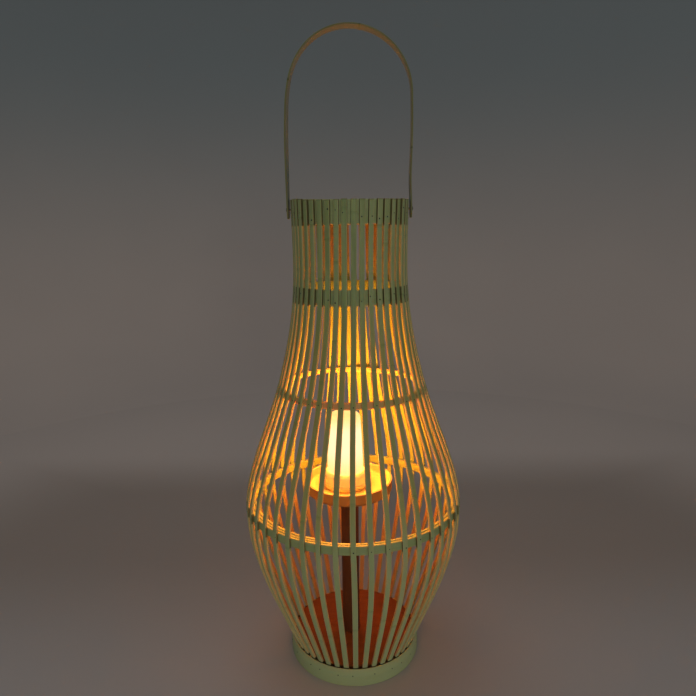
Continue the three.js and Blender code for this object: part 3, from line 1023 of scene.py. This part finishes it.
def lamp_shell(material):
    """The frosted shell: a wall that tapers, a rounded shoulder and a crown with a slight dip."""
    bottom, top, middle, foot = round_box("lamp_diffuser")
    wall, shoulder, neck = 1.6 * MM, 8 * MM, 27.7 * MM
    crown = top - 3.2 * MM
    dip = 0.35 * MM
    taper, wall_steps, corner_steps = 1.8, 14, 12

    def side(inset):
        """The wall, shoulder and crown from the foot up, set in from the outer face."""
        hub, level = neck - shoulder, crown - shoulder
        points = [(foot - inset, bottom)]
        for i in range(1, wall_steps):
            share = i / wall_steps
            radius = foot - inset + (neck - foot) * share ** taper
            points.append((radius, bottom + (level - bottom) * share))
        for i in range(corner_steps + 1):
            angle = math.pi / 2 * i / corner_steps
            reach = shoulder - inset
            points.append((hub + reach * math.cos(angle), level + reach * math.sin(angle)))
        points.append((hub * 0.5, crown - inset - dip * 0.4))
        points.append((0, crown - inset - dip))
        return points

    profile = side(wall)[::-1] + side(0)
    return new_piece(
        "lamp_shell", *turned(profile, 96, middle, closed=False), material,
        "lamp", "glowing_diffuser", ["lamp_diffuser"],
    )


def dress(node, material):
    """Keeps a CAD node, with its edges eased and a better material."""
    piece = frame["nodes"][node]
    piece.data.materials.clear()
    piece.data.materials.append(material)
    edges = piece.modifiers.new("eased_edges", "BEVEL")
    edges.width = 0.35 * MM
    edges.segments = 2
    edges.limit_method = "ANGLE"
    edges.angle_limit = math.radians(40)


# ------------------------------ stage and lights

def pale_studio():
    """A round pale floor that curves up into a wall far behind. The wall is only seen: it neither
    lights the lantern nor shades it."""
    reach, cove, rise, steps = 3.4, 1.6, 12.0, 12
    flat = reach - cove
    sweep = [(0, 0), (flat, 0)]
    for i in range(1, steps + 1):
        angle = math.pi / 2 * i / steps
        sweep.append((flat + cove * math.sin(angle), cove * (1 - math.cos(angle))))
    sweep.append((reach, rise))
    vertices, faces = turned(sweep, 96, closed=False)

    def is_flat(face):
        """Whether a face of the sweep belongs to the level floor."""
        return max(math.hypot(*vertices[i][:2]) for i in face) < flat + 0.1 * MM

    for name, is_floor in (("studio_floor", True), ("studio_wall", False)):
        chosen = [face[::-1] for face in faces if is_flat(face) == is_floor]
        mesh = bpy.data.meshes.new(name)
        mesh.from_pydata(vertices, [], chosen)
        mesh.polygons.foreach_set("use_smooth", [True] * len(mesh.polygons))
        mesh.materials.append(floor_finish(name))
        stage = add_object(name, mesh)
        if not is_floor:
            stage.visible_diffuse = False
            stage.visible_glossy = False
            stage.visible_shadow = False


def new_light(name, kind, place, power, colour):
    """A light that the camera doesn't see."""
    light = add_object(name, bpy.data.lights.new(name, kind))
    light.data.energy = power
    light.data.color = colour
    light.location = place
    light.visible_camera = False
    return light


def soft_light(name, place, aim, size, power, colour):
    """A round area light, size metres wide."""
    light = new_light(name, "AREA", place, power, colour)
    light.data.shape = "DISK"
    light.data.size = size
    light.rotation_mode = "QUATERNION"
    light.rotation_quaternion = (Vector(aim) - Vector(place)).to_track_quat("-Z", "Y")


LAMP_COLOUR = (1.0, 0.33, 0.042)
LAMP_WATTS = 9.8
BOUNCE_COLOUR = (1.0, 0.22, 0.025)
BOUNCE_WATTS = 0.6
BOUNCE_PLACE = (0, 30 * MM, 260 * MM)


def glow_point(name, place, power, radius, unlit, colour=LAMP_COLOUR):
    """A warm soft point that rides with the lamp, and doesn't light the named objects."""
    light = new_light(name, "POINT", place, power, colour)
    light.data.shadow_soft_size = radius
    light.parent = frame["bodies"]["lamp"]
    spared = bpy.data.collections.new("spared_by_" + name)
    for piece in unlit:
        spared.objects.link(bpy.data.objects[piece])
    for member in spared.collection_objects:
        member.light_linking.link_state = "EXCLUDE"
    light.light_linking.receiver_collection = spared


def lamp_glow():
    """Warm light from soft points up the LED column, and from one below the tray, for what the
    slats pass on. The shell casts no shadow, so it lets the light through. The stage doesn't take
    it, so that it stays plain, and the post doesn't take the lower one, which is beside it."""
    stage = ("studio_floor", "studio_wall")
    bottom, top, middle, _ = round_box("lamp_diffuser")
    shares = (0.2, 0.4, 0.6, 0.8)
    for i, share in enumerate(shares):
        place = (*middle, bottom + (top - bottom) * share)
        glow_point(f"lamp_glow_{i}", place, LAMP_WATTS / len(shares), 26 * MM, stage)
    spared = (*stage, "wooden_post")
    glow_point("bounce_glow", BOUNCE_PLACE, BOUNCE_WATTS, 30 * MM, spared, BOUNCE_COLOUR)


def light_the_scene():
    """A dim cool sky, a large soft light far in front and a weaker one overhead."""
    world = bpy.data.worlds.new("studio")
    world.use_nodes = True
    background = world.node_tree.nodes["Background"]
    background.inputs["Color"].default_value = (0.93, 0.95, 1.0, 1)
    background.inputs["Strength"].default_value = 0.13
    soft_light(
        "key_softbox", place=(0.8, -5.2, 1.0), aim=(0, 0, 0.4),
        size=1.8, power=45, colour=(1.0, 0.97, 0.92),
    )
    soft_light(
        "top_softbox", place=(-0.4, 0.6, 3.0), aim=(0, 0, 0),
        size=1.6, power=7, colour=(0.96, 0.97, 1.0),
    )
    bpy.context.scene.world = world
    bpy.context.scene.view_settings.view_transform = "Standard"


# ------------------------------ build

make_camera()
pale_studio()
light_the_scene()

slats = [Slat(name, i + 1) for i, name in enumerate(SLAT_NAMES)]

slat_paint = painted_bamboo("sage_slats", seed=0, wear=0.6, foot_painted_light=0.7, through=0.45)
hoop_paint = painted_bamboo("sage_hoops", seed=2, wear=0.3, foot_painted_light=0.3)
shoulder_paint = painted_bamboo("sage_shoulder_hoop", seed=8, wear=0.6, through=0.6, bare=0.8)
band_paint = painted_bamboo("sage_band", seed=4, wear=0.4, pale=0.85)
handle_paint = painted_bamboo("sage_handle", seed=6, wear=0.3, shade=0.08, lining=0.9)
for slat in slats:
    slat.build(slat_paint)
coiled_strip("belly_hoop", layers=2, overlap=0.16, start=196, material=hoop_paint, seed=101)
coiled_strip(
    "shoulder_hoop", layers=1, overlap=0.07, start=60, material=shoulder_paint, seed=102,
    easing=1.8 * MM,
)
coiled_strip("neck_hoop", layers=1, overlap=0.1, start=145, material=hoop_paint, seed=103)
coiled_strip("rim_hoop", layers=1, overlap=0.12, start=40, material=hoop_paint, seed=104)
base_band(band_paint)
handle_arch(handle_paint)

steel = nail_steel("nail_steel", STEEL, STEEL_TARNISH)
brad_steel = nail_steel("brad_steel", BRAD, BRAD_TARNISH, metallic=0.4)
slat_brads("belly_brads", "belly_hoop", spot=0.5, material=brad_steel, seed=11)
slat_brads("shoulder_brads", "shoulder_hoop", spot=0.5, material=brad_steel, seed=12)
slat_brads("neck_brads", "neck_hoop", spot=0.5, material=brad_steel, seed=13)
slat_brads("rim_brads", "rim_hoop", spot=0.4, material=brad_steel, seed=14)
band_brads(brad_steel)
handle_nail("handle_pin_right", side=1, material=steel)
handle_nail("handle_pin_left", side=-1, material=steel)

base_disc(wood("dark_stained_wood", DISC_DARK, DISC_LIGHT, along="x", rough=0.7))
post(wood("dark_post_wood", POST_DARK, POST_LIGHT, along="z"))
tray(wood("tray_wood", TRAY_DARK, TRAY_LIGHT, along="x", rings=240, figure=0.15))

cream = plastic("cream_plastic", CREAM, CREAM_SHADE)
shell_foot, shell_top = (corner.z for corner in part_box("lamp_diffuser"))
lamp_cup(cream)
shell = lamp_shell(glowing_diffuser("glowing_diffuser", shell_foot, shell_top))
shell.visible_shadow = False
dress("battery_cover", cream)
dress("switch_knob", plastic("dark_knob", KNOB, KNOB_SHADE))
dress("led_module", plastic("led_module", MODULE, MODULE_SHADE))
lamp_glow()
